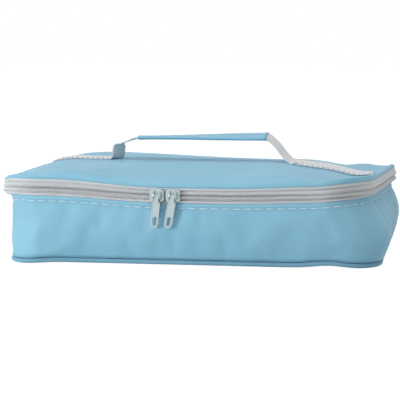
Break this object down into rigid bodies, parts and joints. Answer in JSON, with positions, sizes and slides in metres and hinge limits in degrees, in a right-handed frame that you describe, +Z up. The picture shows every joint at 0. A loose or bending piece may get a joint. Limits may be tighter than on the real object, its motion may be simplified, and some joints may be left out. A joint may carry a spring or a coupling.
{
  "type": "insulated lunch bag",
  "caption": "Soft rectangular insulated lunch bag with a padded domed lid on a fabric hinge, a coil zip with paired sliders and a webbing handle with a fabric grip.",
  "frame": {"origin": "middle of the flat bottom panel, on the surface that the bag stands on", "axes": "+X along the front towards the right-hand side, +Y from the front with the sliders to the hinged rear, +Z up"},
  "size_m": [0.302, 0.2064, 0.0942],
  "materials": {
    "shell_fabric": "coated plain weave, satin",
    "seam_binding": "woven tape, matt",
    "foam": "closed-cell foam",
    "foil_liner": "aluminised film",
    "zip_tape": "knitted tape, matt",
    "zip_coil": "extruded monofilament",
    "webbing": "woven webbing, matt",
    "zip_metal": "plated zinc casting, satin"
  },
  "bodies": {
    "base": {"base_bottom_panel": "shell_fabric", "bottom_foam": "foam", "bottom_welt": "shell_fabric", "base_side_panel": "shell_fabric", "side_foam": "foam", "base_liner": "foil_liner", "base_seam_binding": "seam_binding", "lower_zip_tape": "zip_tape", "lower_zip_coil": "zip_coil", "rear_hinge_strip": "shell_fabric"},
    "lid": {"lid_top_panel": "shell_fabric", "lid_foam": "foam", "lid_liner": "foil_liner", "lid_seam_binding": "seam_binding", "upper_zip_tape": "zip_tape", "upper_zip_coil": "zip_coil", "left_strap_sewn": "webbing", "right_strap_sewn": "webbing"},
    "handle": {"left_strap_free": "webbing", "right_strap_free": "webbing", "grip_webbing": "webbing", "grip_sleeve": "shell_fabric"},
    "left_slider": {"left_slider_body": "zip_metal"},
    "left_pull": {"left_pull_tab": "zip_metal"},
    "right_slider": {"right_slider_body": "zip_metal"},
    "right_pull": {"right_pull_tab": "zip_metal"}
  },
  "joints": [
    {"name": "lid_hinge", "type": "hinge", "parent": "base", "child": "lid", "pos_m": [0, 0.0987, 0.0545], "axis": [-1, 0, 0], "range_deg": [0, 120], "deforming": ["rear_hinge_strip", "upper_zip_coil"]},
    {"name": "handle_swing", "type": "hinge", "parent": "lid", "child": "handle", "pos_m": [0, 0, 0.0736], "axis": [1, 0, 0], "range_deg": [-50, 50], "deforming": ["left_strap_free", "right_strap_free"]},
    {"name": "left_slider_travel", "type": "slide", "parent": "base", "child": "left_slider", "axis": [1, 0, 0], "range_m": [-0.055, 0], "deforming": ["lower_zip_coil"]},
    {"name": "left_pull_swing", "type": "hinge", "parent": "left_slider", "child": "left_pull", "pos_m": [-0.0192, -0.1037, 0.0545], "axis": [-1, 0, 0], "range_deg": [0, 170]},
    {"name": "right_slider_travel", "type": "slide", "parent": "base", "child": "right_slider", "axis": [1, 0, 0], "range_m": [0, 0.085]},
    {"name": "right_pull_swing", "type": "hinge", "parent": "right_slider", "child": "right_pull", "pos_m": [-0.007, -0.1037, 0.0545], "axis": [-1, 0, 0], "range_deg": [0, 170]}
  ]
}
